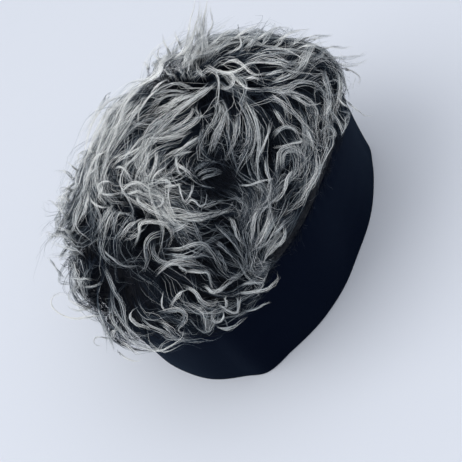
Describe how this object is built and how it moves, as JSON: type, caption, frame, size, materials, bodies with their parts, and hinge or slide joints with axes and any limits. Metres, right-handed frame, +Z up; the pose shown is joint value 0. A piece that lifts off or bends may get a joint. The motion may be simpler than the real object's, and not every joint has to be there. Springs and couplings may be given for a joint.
{
  "type": "faux-fur beanie",
  "caption": "Soft pull-on cap with a wide smooth jersey band and a low crown of long, wavy, silver-tipped faux fur, standing on its open rim.",
  "frame": {"origin": "under the middle of the whole hat, on the surface it stands on", "axes": "+Z up through the crown, +X along the oval's length towards the wearer's far end, -Y the long side that faces the viewer"},
  "size_m": [0.2292, 0.1582, 0.1327],
  "materials": {
    "jersey": "matte black double-layer jersey",
    "fur_cloth": "matte dark knitted backing",
    "fur_pile": "charcoal faux fur with silver-white tips"
  },
  "bodies": {
    "root": {"band": "jersey", "crown": "fur_cloth", "fur": "fur_pile"}
  },
  "joints": []
}
